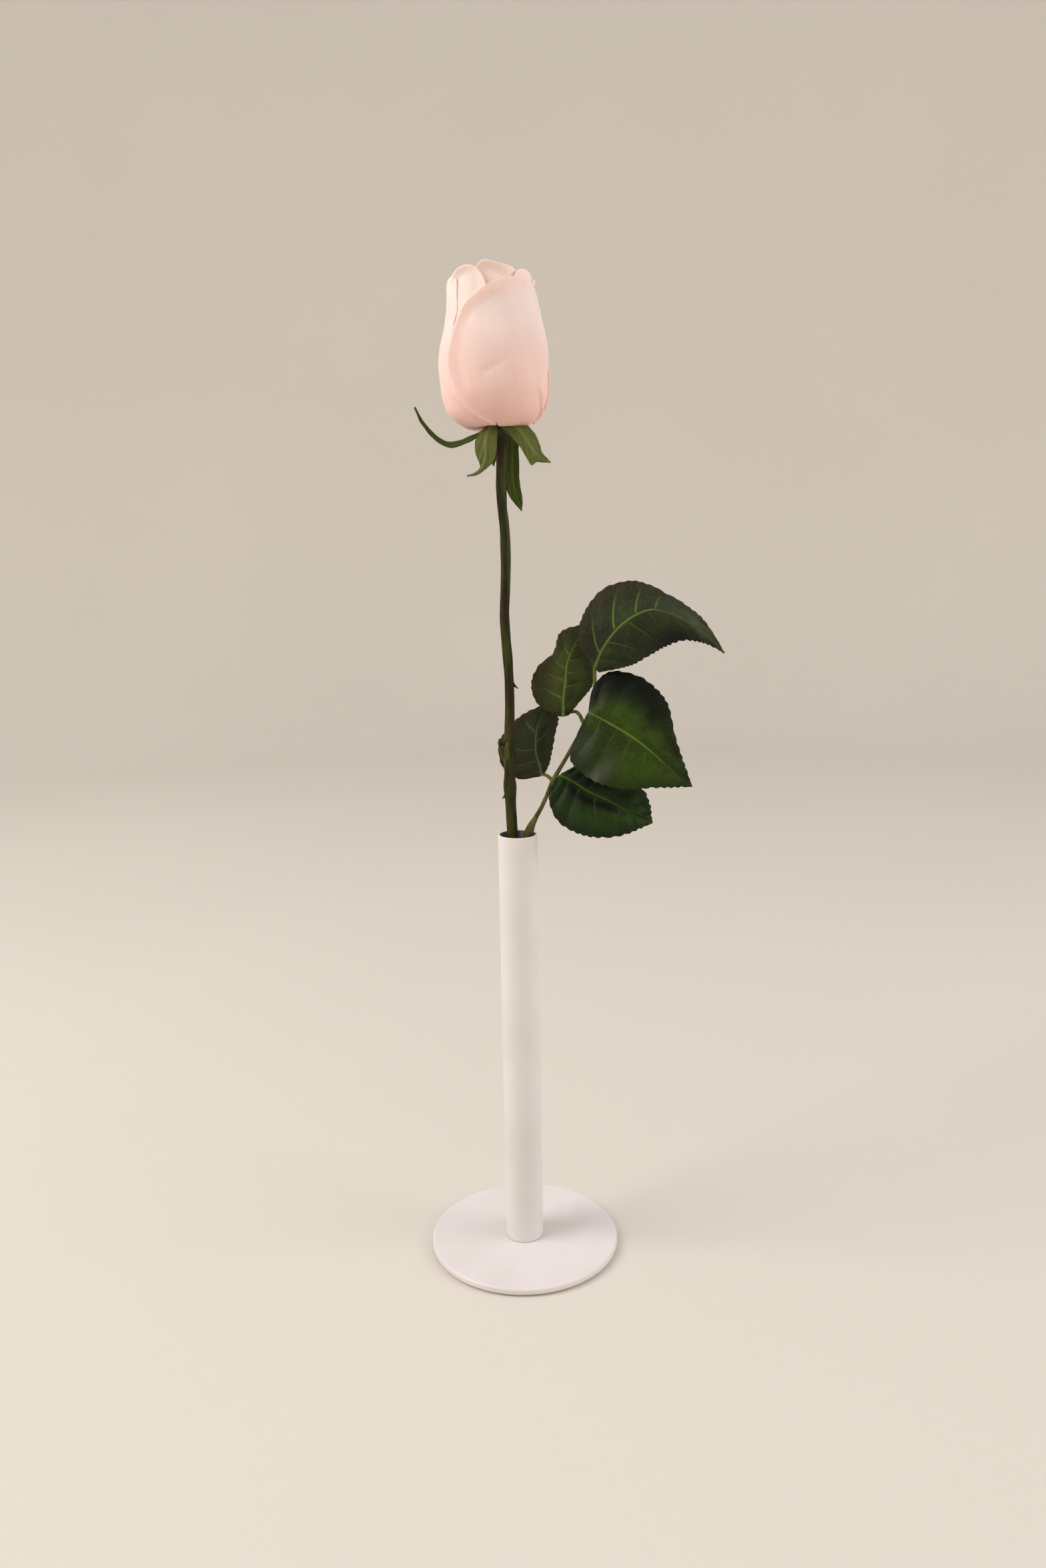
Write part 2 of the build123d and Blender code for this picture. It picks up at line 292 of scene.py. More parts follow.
def coat_finish(name, low, high, inside_radius=None):
    """Satin white powder coat with faint orange peel; bare steel inside the tube's bore."""
    finish = Finish(name, roughness=0.4, Specular_IOR_Level=0.45)
    white = finish.blend(finish.span(finish.noise(38, 2), 0.35, 0.65), low, high)
    speck = finish.span(finish.noise(1.6, 2), 0.70, 0.80)
    white = finish.blend(finish.math("MULTIPLY", speck, 0.10), white, rgb(196, 186, 176))
    if inside_radius:
        x = finish.along("X")
        y = finish.along("Y")
        radius = finish.math("SQRT", finish.math("ADD", finish.math("MULTIPLY", x, x), finish.math("MULTIPLY", y, y)))
        bare = finish.span(radius, (inside_radius + 0.28) * MM, (inside_radius + 0.1) * MM)
        scratches = finish.span(finish.noise(2.2, 4, (1, 1, 18)), 0.3, 0.7)
        steel = finish.blend(scratches, rgb(84, 78, 72), rgb(126, 120, 112))
        white = finish.blend(bare, white, steel)
    finish.colour(white)
    finish.roughness(0.34, 0.46, 14)
    finish.bump(finish.noise(1.1, 2), 0.012)
    finish.bump(finish.noise(7.0, 1), 0.012)
    return finish.material


def steel_finish():
    finish = Finish("bright_steel_turned", roughness=0.3, Metallic=1.0)
    finish.colour(finish.blend(finish.noise(3, 4, (1, 1, 0.2)), rgb(150, 150, 150), rgb(205, 205, 203)))
    finish.roughness(0.22, 0.42, 2)
    finish.bump(finish.noise(0.5, 2), 0.01)
    return finish.material


def foam_finish(name, dark, light, grain, relief):
    """Cellular foam: coarse and fine noise with pitted relief."""
    finish = Finish(name, roughness=0.9, Specular_IOR_Level=0.2)
    cells = finish.noise(grain, 5)
    finish.colour(finish.blend(finish.span(cells, 0.35, 0.65), dark, light))
    finish.bump(cells, relief)
    return finish.material


def plastic_finish(name, dark, light, streak, roughness=(0.4, 0.55)):
    """Moulded plastic with streaks along the stem and fine grain."""
    finish = Finish(name, roughness=0.45, Specular_IOR_Level=0.15)
    streaks = finish.span(finish.noise(2.4, 4, (1, 1, 9)), 0.36, 0.64)
    shade = finish.blend(streaks, dark, light)
    patches = finish.span(finish.noise(17, 2), 0.50, 0.66)
    finish.colour(finish.blend(finish.math("MULTIPLY", patches, 0.5), shade, streak))
    finish.roughness(roughness[0], roughness[1], 5)
    finish.bump(finish.noise(1.3, 3, (1, 1, 5)), 0.10)
    finish.bump(finish.noise(0.35, 2), 0.02)
    return finish.material


def leaf_finish(name, slate, vivid, vein, margin, under, painted_shade, painted_sheen, margin_side=0.0, vein_show=0.6,
                vivid_low=0.42):
    """Printed cloth leaf: slate and vivid green patches, pale veins, dark or brown margin, painted shade and painted
    sheen patches.
    """
    finish = Finish(name, roughness=0.5, Specular_IOR_Level=0.1, Sheen_Weight=0.02, Sheen_Roughness=0.4)
    across = finish.attribute("across")
    edge = finish.math("ABSOLUTE", across)
    patches = finish.span(finish.noise(15, 3), vivid_low, vivid_low + 0.22)
    middle = finish.span(edge, 0.85, 0.2)
    share = finish.math("MAXIMUM", finish.math("MULTIPLY", patches, middle), finish.attribute("vivid"))
    green = finish.blend(share, slate, vivid)
    mottle = finish.span(finish.noise(2.2, 4), 0.3, 0.75, 0.0, 0.35)
    green = finish.blend(mottle, green, slate)
    rim = finish.span(edge, 0.72, 1.0)
    if margin_side:
        sided = finish.math("MULTIPLY", across, margin_side)
        rim = finish.math("MULTIPLY", finish.span(sided, 0.35, 0.95), finish.span(finish.noise(9, 3), 0.3, 0.6, 0.3, 1.0))
    green = finish.blend(finish.math("MULTIPLY", rim, 0.85), green, margin)
    speckle = finish.span(finish.noise(0.6, 2), 0.48, 0.72, 0.0, 0.12)
    green = finish.blend(speckle, green, vein)
    web = finish.span(finish.cells(1.4), 0.10, 0.0, 0.0, 0.05)
    green = finish.blend(web, green, vein)
    # Painted shade: the dark spots turn the colour towards the shade colour.
    green = finish.blend(finish.attribute("dark"), green, painted_shade)
    # Painted sheen: the sheen spots, broken up by noise, turn the colour towards the sheen colour.
    painted_sheen_share = finish.math("MULTIPLY", finish.attribute("painted_sheen"), finish.span(finish.noise(6, 4), 0.25, 0.7, 0.35, 0.8))
    green = finish.blend(painted_sheen_share, green, painted_sheen)
    veins = finish.math("MULTIPLY", finish.attribute("vein"), vein_show)
    green = finish.blend(veins, green, vein)
    green = finish.blend(finish.math("MULTIPLY", finish.attribute("rib"), 0.92), green, vein)
    green = finish.blend(finish.math("MULTIPLY", finish.attribute("under"), 0.75), green, under)
    finish.colour(green)
    finish.roughness(0.42, 0.62, 6)
    finish.bump(finish.cells(1.4), 0.08)
    finish.bump(finish.noise(0.9, 3), 0.16)
    finish.bump(finish.noise(0.25, 2), 0.03)
    return finish.material


def petal_finish(name, shade, main, light):
    """Soft satin cloth petal, a little deeper low down and paler at its top and rim; the change with height is partly
    painted shade low on the bud and painted light at its top.
    """
    finish = Finish(name, roughness=0.62, Specular_IOR_Level=0.15, Sheen_Weight=0.35, Sheen_Roughness=0.5,
                    Subsurface_Weight=0.25, Subsurface_Scale=0.004)
    height = finish.attribute("along")
    # Deeper colour low down is partly painted shade; paler colour high up is partly painted light.
    cloth = finish.blend(finish.span(height, 0.0, 0.42), shade, main)
    cloth = finish.blend(finish.span(height, 0.22, 0.9, 0.0, 0.85), cloth, light)
    clouds = finish.span(finish.noise(16, 2), 0.34, 0.68, 0.0, 0.16)
    cloth = finish.blend(clouds, cloth, shade)
    rim = finish.span(finish.attribute("rim"), 3.2, 0.4)
    cloth = finish.blend(finish.math("MULTIPLY", rim, 0.3), cloth, light)
    fibres = finish.span(finish.noise(0.8, 3, (1, 1, 8)), 0.42, 0.7)
    cloth = finish.blend(finish.math("MULTIPLY", fibres, 0.06), cloth, shade)
    finish.colour(cloth)
    finish.roughness(0.55, 0.7, 8)
    finish.bump(finish.noise(1.4, 3, (1, 1, 6)), 0.03)
    finish.bump(finish.noise(0.3, 2), 0.02)
    return finish.material


DARK_OLIVE = rgb(28, 30, 9)
OLIVE = rgb(60, 59, 20)
STEM_BROWN = rgb(50, 34, 17)
PALE_VEIN = rgb(118, 140, 58)
# Leaf colours for painted shade, then for painted sheen.
PAINTED_SHADE_GREEN = rgb(18, 21, 15)
PAINTED_SHEEN_GREEN = rgb(84, 92, 70)
coat = coat_finish("white_coat_satin", rgb(226, 217, 215), rgb(233, 224, 224))
# The tube's coat is a slightly darker, cooler copy of the disc's coat: painted shade.
tube_coat = coat_finish("white_coat_tube", rgb(222, 217, 215), rgb(229, 224, 223),
                        inside_radius=box_mm("tube_end_plug")[1][0])
steel = steel_finish()
pad_foam = foam_finish("foam_pad_dark", rgb(34, 32, 30), rgb(58, 54, 50), 0.6, 0.15)
core_foam = foam_finish("foam_core_white", rgb(222, 214, 206), rgb(240, 234, 226), 1.8, 0.25)
cap_plastic = plastic_finish("cap_plastic_green", rgb(52, 62, 34), rgb(70, 82, 46), rgb(60, 70, 38))
stem_plastic = plastic_finish("stem_plastic_olive", DARK_OLIVE, OLIVE, STEM_BROWN)
stalk_plastic = plastic_finish("stalk_plastic_olive", rgb(66, 68, 32), rgb(102, 104, 54), rgb(84, 72, 44))
socket_plastic = plastic_finish("socket_plastic_green", rgb(48, 50, 20), rgb(86, 92, 38), rgb(40, 28, 14))
calyx_plastic = plastic_finish("calyx_dark_olive", rgb(34, 40, 18), rgb(54, 64, 28), rgb(40, 36, 20))
sepal_light = leaf_finish("sepal_light_green", rgb(74, 82, 36), rgb(108, 116, 60), rgb(138, 146, 90),
                          rgb(52, 58, 26), rgb(100, 108, 56), rgb(42, 48, 20), rgb(132, 138, 92),
                          vein_show=0.35, vivid_low=0.38)
sepal_dark = leaf_finish("sepal_dark_green", rgb(60, 66, 20), rgb(98, 104, 30), rgb(102, 112, 46),
                         rgb(34, 38, 18), rgb(70, 84, 32), rgb(22, 26, 12), rgb(84, 92, 54),
                         vein_show=0.3, vivid_low=0.40)
petal_cloth = petal_finish("petal_pink_cloth", rgb(240, 178, 167), rgb(255, 207, 198), rgb(255, 232, 227))
petal_inner_cloth = petal_finish("petal_pink_inner", rgb(240, 190, 179), rgb(255, 211, 201), rgb(255, 233, 227))


def dress(node, material):
    """Gives a CAD node that is shown as it is its finished material."""
    node_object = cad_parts[node]
    for index in range(len(node_object.material_slots)):
        node_object.material_slots[index].material = material


dress("foot_pad", pad_foam)
dress("base_disc", coat)
dress("base_screw", steel)
dress("tube_end_plug", steel)
dress("tube", tube_coat)
dress("stem_end_cap", cap_plastic)
dress("stem_wire", steel)

# ---------------------------------------------------------------- stem
STEM_SIDES = 28
# Centre line above the tube as (x, z, radius), from the tube's mouth to the calyx.
STEM_LINE = [
    (0.0, 16.5, 2.5), (0.0, 60.0, 2.5), (0.0, 110.0, 2.5), (-0.05, 145.0, 2.5), (-0.9, 170.0, 2.52),
    (-2.0, 198.0, 2.53), (-2.6, 210.4, 2.48), (-2.95, 220.7, 2.54), (-3.1, 226.6, 2.95), (-3.19, 231.5, 2.46),
    (-3.05, 242.0, 2.34), (-2.9, 251.2, 2.3), (-2.58, 259.0, 2.2), (-2.45, 268.0, 2.12), (-2.64, 277.2, 2.08),
    (-3.09, 286.1, 2.19), (-3.58, 292.6, 2.12), (-3.9, 298.4, 2.18), (-3.94, 306.0, 2.13), (-3.43, 315.2, 2.18),
    (-3.05, 324.4, 2.2), (-3.02, 331.6, 2.25), (-3.24, 340.6, 2.2), (-4.07, 349.7, 2.12), (-4.31, 357.5, 2.3),
    (-4.0, 366.0, 2.4), (-3.7, 379.0, 2.6),
]
RIGHT_THORN = [(-3.2, 0.0, 275.3), (-1.7, -0.3, 273.6), (-0.2, -0.5, 272.2), (1.5, -0.6, 270.8)]
RIGHT_THORN_RADII = (1.7, 1.25, 0.65, 0.12)
LEFT_THORN = [(-4.0, -0.6, 223.4), (-5.2, -0.8, 222.4), (-6.7, -1.0, 221.0)]
LEFT_THORN_RADII = (1.4, 0.8, 0.12)


def make_stem():
    line = smooth_curve([(x, 0.0, z, radius) for x, z, radius in STEM_LINE], 460)
    path, radii = line[:, :3], line[:, 3]
    radii = radii + 0.07 * bumps(path, 5.0, 3.0) + 0.05 * bumps(path, 1.7, 9.0)
    verts, faces = rod_mesh(path, radii, STEM_SIDES)
    above = ease(verts[:, 2], 206.0, 212.0)
    facets = bumps(verts * [1, 1, 0.25], 2.2, 5.0) * 0.12 * above
    centre = np.column_stack([np.interp(verts[:, 2], path[:, 2], path[:, 0]), np.zeros(len(verts)), verts[:, 2]])
    verts = verts + unit(verts - centre) * facets[:, None]
    return add_piece("rose_stem", (verts, faces), "rose", stem_plastic, ["stem"])


def make_thorns():
    shells = []
    for route, sizes in ((RIGHT_THORN, RIGHT_THORN_RADII), (LEFT_THORN, LEFT_THORN_RADII)):
        line = smooth_curve([point + (radius,) for point, radius in zip(route, sizes)], 18)
        shells.append(rod_mesh(line[:, :3], line[:, 3], 16, flatten=0.7))
    return add_piece("rose_thorns", joined(shells), "rose", stem_plastic, ["stem_thorns"])


# Torn sheath of a lost leaf, hugging the stem's front left: (x, y, z, radius) of its wall.
SOCKET_WALL = [(-4.1, -1.0, 237.5, 1.1), (-4.8, -1.5, 241.0, 1.9), (-5.4, -1.9, 244.8, 2.2), (-5.9, -2.2, 248.2, 2.4)]
SOCKET_THICKNESS = 0.55
SOCKET_SIDES = 40


def make_socket():
    """Cup whose wall is cut low at the front, so that its hollow is seen."""
    line = smooth_curve(SOCKET_WALL, 26)
    rings = []
    turn = np.linspace(0, 2 * math.pi, SOCKET_SIDES, endpoint=False)
    for index, (x, y, z, radius) in enumerate(line):
        share = index / (len(line) - 1)
        ragged = 1 + 0.10 * np.sin(3 * turn + 1) * share + 0.06 * np.sin(7 * turn) * share
        drop = share * (3.4 * (0.5 - 0.5 * np.sin(turn)) ** 1.5 + 0.5 * np.sin(5 * turn))
        rings.append(np.column_stack([
            x + radius * ragged * np.cos(turn), y + 0.8 * radius * ragged * np.sin(turn), z - drop]))
    outer = np.array(rings)
    centre = line[:, None, :3]
    inner = centre + (outer - centre) * (1 - SOCKET_THICKNESS / line[:, 3])[:, None, None]
    inner = inner[3:][::-1]
    loops = np.vstack([outer, inner])
    verts = np.vstack([loops.reshape(-1, 3), line[:1, :3], inner[-1].mean(0)[None]])
    faces = strip_faces(len(loops), SOCKET_SIDES, wrap=True)
    foot = len(loops) * SOCKET_SIDES
    for n in range(SOCKET_SIDES):
        after = (n + 1) % SOCKET_SIDES
        faces.append([foot, after, n])
        faces.append([foot + 1, foot - SOCKET_SIDES + n, foot - SOCKET_SIDES + after])
    return add_piece("rose_leaf_sheath", (verts, faces), "rose", socket_plastic, ["leaf_socket"])


# ---------------------------------------------------------------- leaf stalk
# Centre line as (x, y, z, radius): the thick collar lies in the tube's mouth.
STALK_LINE = [
    (-0.6, 0.0, 184.0, 1.4), (2.0, 0.0, 194.0, 1.9), (4.5, 0.0, 202.6, 2.15), (5.3, 0.0, 205.4, 2.1),
    (6.3, 0.0, 208.0, 1.75), (8.0, 0.0, 211.2, 1.2), (11.0, 0.0, 216.5, 0.98), (14.0, 0.0, 223.0, 0.95),
    (16.5, 0.0, 229.0, 1.05), (20.0, 0.0, 235.0, 0.92), (23.0, 0.0, 240.0, 0.9), (26.5, 0.0, 246.0, 0.92),
    (31.0, 0.0, 253.5, 1.05), (34.0, 0.0, 260.5, 0.88), (35.4, 0.0, 268.0, 0.85), (35.5, -0.5, 275.5, 0.85),
    (35.5, -1.0, 280.0, 0.8),
]
# Twigs to the side leaflets as (foot, middle, tip).
TWIGS = [
    ((16.3, 0.0, 228.8), (13.6, 3.4, 230.6), (11.4, 6.4, 230.6)),
    ((16.8, 0.0, 229.4), (18.4, -1.0, 230.6), (20.0, -1.6, 231.0)),
    ((31.0, 0.0, 253.8), (27.0, 4.2, 259.5), (21.8, 4.0, 258.4)),
    ((31.6, 0.0, 255.0), (32.6, -3.0, 258.0), (33.0, -5.4, 260.2)),
]
TWIG_RADII = (0.95, 0.78, 0.62)


def make_stalk():
    line = smooth_curve(STALK_LINE, 240)
    radii = line[:, 3] + 0.05 * bumps(line[:, :3], 3.0, 14.0)
    shells = [rod_mesh(line[:, :3], radii, 22)]
    for twig in TWIGS:
        twig_line = smooth_curve([point + (radius,) for point, radius in zip(twig, TWIG_RADII)], 24)
        shells.append(rod_mesh(twig_line[:, :3], twig_line[:, 3], 14))
    return add_piece("rose_leaf_stalk", joined(shells), "rose", stalk_plastic, ["leaf_stalk"])


# ---------------------------------------------------------------- leaflets
LEAF_ROWS = 280
LEAF_COLUMNS = 73
VEIN_WIDTH = 0.27                # half width of a side vein
RIB_WIDTH = 0.5                  # half width of the midrib at its foot
TIP_WIDTH = 0.05                 # share of the margin's width left at the tip


def spots(along, across, places):
    """Soft patches on a blade, each as (along, across, size along, size across, strength)."""
    total = np.zeros_like(along)
    for at, out, long, wide, strength in places:
        total += strength * np.exp(-(((along - at) / long) ** 2) - ((across - out) / wide) ** 2)
    return np.clip(total, 0, 1)


def lofted_leaf(middle, left, right, veins, teeth, tooth, relief, sweep=0.16, thickness=0.5, seed=0.0,
                dark=(), painted_sheen=(), vivid=(), vein_left=1.0, vein_right=1.0, vein_reach=0.9, vein_end=0.85):
    """Blade through a midrib and two margins, puckered between its side veins, with a toothed edge.

    Returns the closed sheet and the attributes that its finish reads.
    """
    rows, cols = LEAF_ROWS, LEAF_COLUMNS
    spine = smooth_curve(middle, rows)
    margins = {-1: smooth_curve(left, rows), 1: smooth_curve(right, rows)}
    along = np.linspace(0, 1, rows)[:, None] * np.ones((1, cols))
    raw = np.linspace(-1, 1, cols)
    across = (np.sign(raw) * np.abs(raw) ** 1.2)[None, :] * np.ones((rows, 1))
    spread = np.abs(across)[..., None]
    side = np.where(across[..., None] < 0, margins[-1][:, None, :], margins[1][:, None, :])
    closing = np.maximum(1 - ease(along, 0.985, 1.0), TIP_WIDTH)[..., None]
    reach = side - spine[:, None, :]
    bow = 1 - 0.10 * spread * (1 - spread)
    grid = spine[:, None, :] + reach * spread * closing * bow
    # Rounded teeth that lean towards the tip.
    phase = (along * teeth + 0.35 * np.sin(along * teeth * 0.9 + seed)) % 1.0
    saw = np.sin(math.pi * phase**1.6) - 0.5
    fine = (along * teeth * 2.7 + seed) % 1.0
    size = tooth * ease(along, 0.02, 0.10) * (1 - ease(along, 0.93, 1.0))
    push = size * (saw + 0.22 * (fine - 0.5)) * ease(np.abs(across), 0.82, 1.0)
    forward = unit(np.gradient(spine, axis=0))[:, None, :]
    grid = grid + (unit(reach) + 0.45 * forward) * push[..., None]
    # Relief between the side veins, and a groove along the midrib.
    order = (along - sweep * np.abs(across) ** 1.15) * veins + 0.25 * np.sin(9 * along + seed)
    order = order + np.where(across < 0, 0.0, 0.45)
    off_vein = np.abs(order - np.round(order))
    blade_length = np.linalg.norm(np.diff(spine, axis=0), axis=1).sum()
    width = VEIN_WIDTH * veins / blade_length * (1.15 - 0.5 * np.abs(across))
    vein = np.exp(-((off_vein / width) ** 2)) * ease(np.abs(across), 0.03, 0.10)
    vein = vein * (1 - ease(np.abs(across), 0.45 * vein_reach, vein_reach)) * np.where(across < 0, vein_left, vein_right)
    vein = vein * (1 - ease(along, vein_end - 0.15, vein_end)) * ease(along, 0.01, 0.05)
    taper = ease(np.abs(across), 0.02, 0.35) * (1 - 0.6 * ease(np.abs(across), 0.75, 1.0))
    pucker = (off_vein / 0.5) ** 0.75 * taper * (1 - ease(along, 0.85, 1.0)) * ease(along, 0.0, 0.12)
    rough = bumps(grid, 6.0, seed) * 0.7 + bumps(grid, 2.6, seed + 4) * 0.35
    groove = -0.55 * np.exp(-((np.abs(across) / 0.05) ** 2))
    height = relief * (pucker + 0.5 * rough * taper) + groove * relief
    grid = grid + grid_normals(grid) * height[..., None]
    half_blade = np.maximum(np.linalg.norm(reach, axis=-1), 1.0)
    rib_width = RIB_WIDTH * (1.15 - 0.75 * along) / half_blade
    rib = np.exp(-((np.abs(across) / rib_width) ** 2)) * (1 - 0.75 * ease(along, 0.5, 0.95))
    body = thickness * (1 - 0.5 * ease(np.abs(across), 0.8, 1.0)) + 0.5 * rib
    mesh_data = sheet_mesh(grid, body)
    front = np.zeros_like(along)
    attributes = {
        "across": np.stack([across, across]),
        "along": np.stack([along, along]),
        "vein": np.stack([vein, vein * 0.6]),
        "rib": np.stack([rib, rib]),
        "under": np.stack([front, front + 1]),
    }
    # The dark spots are painted shade and the sheen spots are painted sheen, both kept faint on the underside.
    for key, places in (("dark", dark), ("painted_sheen", painted_sheen), ("vivid", vivid)):
        patch = spots(along, across, places)
        attributes[key] = np.stack([patch, patch * 0.3])
    return mesh_data, attributes


TOP_TIP = (92.0, -7.0, 285.5)
UPPER_LEFT_TIP = (32.0, 10.0, 298.5)
RIGHT_TIP = (77.0, -16.0, 228.0)
LOWER_LEFT_TIP = (14.0, 12.0, 262.5)
LOWER_RIGHT_TIP = (61.0, -5.0, 209.5)
# Each leaflet as midrib, left and right margin, side veins, teeth, tooth size and relief.
# Their dark spots are painted shade and their sheen spots are painted sheen.
LEAFLETS = {
    "top": dict(
        middle=[(35.5, -1, 279.5), (38, -4, 286.5), (43, -7, 294.5), (49, -9.5, 300.5), (59.5, -11, 305),
                (69.5, -11, 302.5), (79.5, -10, 296.5), TOP_TIP],
        left=[(34, -0.5, 280.5), (28.5, 1, 290), (31, 2, 303), (40, 1, 314), (53, -1, 317), (67.5, -4, 311),
              (81.5, -7, 301), TOP_TIP],
        right=[(37.5, -1, 277.5), (44, -4, 279), (51.5, -6, 281), (58, -7, 284.5), (66, -8, 289),
               (73.5, -8.5, 291.5), (83, -8.5, 290), TOP_TIP],
        veins=8, teeth=25, tooth=0.5, relief=0.8, seed=1.0,
        dark=[(0.62, 0.9, 0.16, 0.35, 0.9), (0.12, -0.5, 0.12, 0.5, 0.35)],
        painted_sheen=[(0.78, -0.25, 0.14, 0.5, 0.8), (0.55, -0.1, 0.1, 0.3, 0.3)],
        vein_right=0.35, vein_end=0.66),
    "upper_left": dict(
        middle=[(21.5, 3, 257.5), (21.5, 2, 265), (22.5, 1.5, 273), (23.5, 2.5, 281.5), (26, 4.5, 287.5),
                (28.5, 7, 292.5), UPPER_LEFT_TIP],
        left=[(19.5, 3.5, 257.5), (9.5, 6, 264), (7.5, 7, 273), (10.5, 5, 280), (17.5, 6, 286),
              (20.5, 8, 294.5), UPPER_LEFT_TIP],
        right=[(24, 3.5, 258), (28.5, 4.5, 263.5), (35, 5, 272), (35.5, 6, 278.5), (35, 7.5, 285.5),
               (34, 9, 292), UPPER_LEFT_TIP],
        veins=6, teeth=15, tooth=0.4, relief=0.7, seed=2.0,
        dark=[(0.02, 0.0, 0.05, 1.0, 0.8), (0.35, 0.25, 0.3, 0.16, 0.3)], vivid=[(0.45, -0.2, 0.35, 0.3, 0.7), (0.4, 0.55, 0.3, 0.25, 0.4)],
        vein_reach=0.75),
    "right": dict(
        middle=[(32.5, -5, 260.5), (37.5, -9, 258), (44, -12.5, 254.5), (52, -15, 249.5), (59.5, -16.5, 243.5),
                (66.5, -17, 237), RIGHT_TIP],
        left=[(32.5, -4.5, 262), (34.5, -2, 270), (40.5, -1, 277), (52.5, -3, 276.5), (66, -8, 265.5),
              (70, -13, 249), RIGHT_TIP],
        right=[(31, -5, 258), (26.5, -7, 249), (24, -9.5, 240), (32, -12.5, 232), (45.5, -15, 227.5),
               (60, -16.5, 228), RIGHT_TIP],
        veins=6, teeth=20, tooth=0.55, relief=0.9, seed=3.0,
        dark=[(0.2, -0.95, 0.24, 0.4, 1.0), (0.48, -0.8, 0.16, 0.3, 0.5), (0.5, -0.5, 0.05, 0.2, 0.4),
              (0.1, 0.7, 0.16, 0.4, 0.5)],
        painted_sheen=[(0.43, 0.88, 0.045, 0.35, 1.0), (0.24, 0.7, 0.08, 0.25, 0.4)],
        vivid=[(0.3, -0.3, 0.25, 0.25, 0.9), (0.62, 0.4, 0.28, 0.5, 1.0)],
        vein_left=0.25, vein_reach=0.5),
    "lower_left": dict(
        middle=[(11.5, 6, 230), (10.5, 6.5, 235), (9, 7, 240), (9, 7.5, 245.5), (9.5, 9, 250.5), LOWER_LEFT_TIP],
        left=[(10, 6.5, 229.5), (0.5, 8, 228.5), (-5.5, 9, 232.5), (-8, 10, 243.0), (1.5, 11, 256.5), LOWER_LEFT_TIP],
        right=[(12.5, 6.5, 230.5), (14.5, 7.5, 234), (16.5, 9, 241.5), (18, 10.5, 249), (19.5, 12, 256),
               LOWER_LEFT_TIP],
        veins=5, teeth=12, tooth=0.45, relief=0.6, seed=4.0,
        dark=[(0.4, 0.3, 0.3, 0.25, 0.5)]),
    "lower_right": dict(
        middle=[(19.5, -1.5, 231.5), (25, -4, 229), (32.5, -6.5, 224.5), (40.5, -8, 221), (48.5, -8, 216.5),
                LOWER_RIGHT_TIP],
        left=[(20.5, -1.5, 232.5), (29, -1, 236), (40, -0.5, 236), (51, -1.5, 230.5), (58.5, -3, 221.5),
              LOWER_RIGHT_TIP],
        right=[(17.5, -2, 230), (14.5, -4, 222), (18, -7, 212), (29.5, -9.5, 205.5), (44, -9, 204.5),
               LOWER_RIGHT_TIP],
        veins=6, teeth=17, tooth=0.55, relief=1.5, seed=5.0,
        dark=[(0.3, -0.3, 0.22, 0.3, 1.0), (0.3, 0.22, 0.25, 0.14, 1.0), (0.55, 0.15, 0.15, 0.1, 0.7)],
        vivid=[(0.45, 0.6, 0.3, 0.3, 0.6)],
        vein_left=0.5, vein_reach=0.7),
}
LEAF_FINISHES = {
    "top": leaf_finish("leaf_top_cloth", rgb(36, 42, 28), rgb(50, 60, 26), PALE_VEIN, rgb(50, 38, 30),
                       rgb(78, 92, 60), rgb(28, 20, 22), PAINTED_SHEEN_GREEN, margin_side=-1.0, vein_show=0.85,
                       vivid_low=0.52),
    "upper_left": leaf_finish("leaf_upper_left_cloth", rgb(48, 53, 28), rgb(70, 77, 38), PALE_VEIN,
                              rgb(54, 42, 26), rgb(76, 88, 54), PAINTED_SHADE_GREEN, PAINTED_SHEEN_GREEN, margin_side=-1.0,
                              vein_show=0.5),
    # The right leaflet's near-black margin colour is painted shade along its upper edge, which curls away from the
    # lamps.
    "right": leaf_finish("leaf_right_cloth", rgb(27, 35, 15), rgb(52, 72, 14), rgb(108, 132, 46),
                         rgb(20, 24, 14), rgb(76, 90, 54), rgb(7, 9, 5), rgb(90, 96, 84), margin_side=-1.0,
                         vein_show=0.2, vivid_low=0.40),
    "lower_left": leaf_finish("leaf_lower_left_cloth", rgb(46, 50, 34), rgb(58, 65, 38), rgb(96, 110, 68),
                              rgb(52, 40, 34), rgb(70, 82, 54), PAINTED_SHADE_GREEN, PAINTED_SHEEN_GREEN, margin_side=-1.0,
                              vein_show=0.45, vivid_low=0.55),
    "lower_right": leaf_finish("leaf_lower_right_cloth", rgb(24, 36, 15), rgb(42, 64, 20), rgb(88, 118, 46),
                               rgb(22, 32, 16), rgb(70, 86, 50), rgb(13, 17, 10), PAINTED_SHEEN_GREEN, vein_show=0.25,
                               vivid_low=0.36),
}


def make_leaflets():
    for name, shape in LEAFLETS.items():
        mesh_data, attributes = lofted_leaf(**shape)
        add_piece(f"rose_leaf_{name}", mesh_data, "rose", LEAF_FINISHES[name],
                  [f"leaflet_{name}"], attributes)


# ---------------------------------------------------------------- bud
BUD_FOOT = np.array([-3.7, 0.0, 381.6])
BUD_LEAN = math.radians(-2.6)
# Half outline of the bud as (radius, height above its underside).
BUD_OUTLINE = [(3.4, 2.6), (8.0, 0.8), (13.0, 0.8), (17.6, 3.4), (20.8, 7.0), (22.8, 12.0), (23.7, 20.0),
               (23.6, 27.0), (22.5, 35.0), (20.4, 43.0), (18.9, 52.0), (17.6, 60.0), (15.6, 70.0)]
LEFT_FULLNESS = 0.07            # the bud's left side stands out this share further
outline = smooth_curve(BUD_OUTLINE, 400)
outline_at = np.concatenate([[0.0], np.cumsum(np.linalg.norm(np.diff(outline, axis=0), axis=1))])
outline_slope = unit(np.gradient(outline, axis=0))


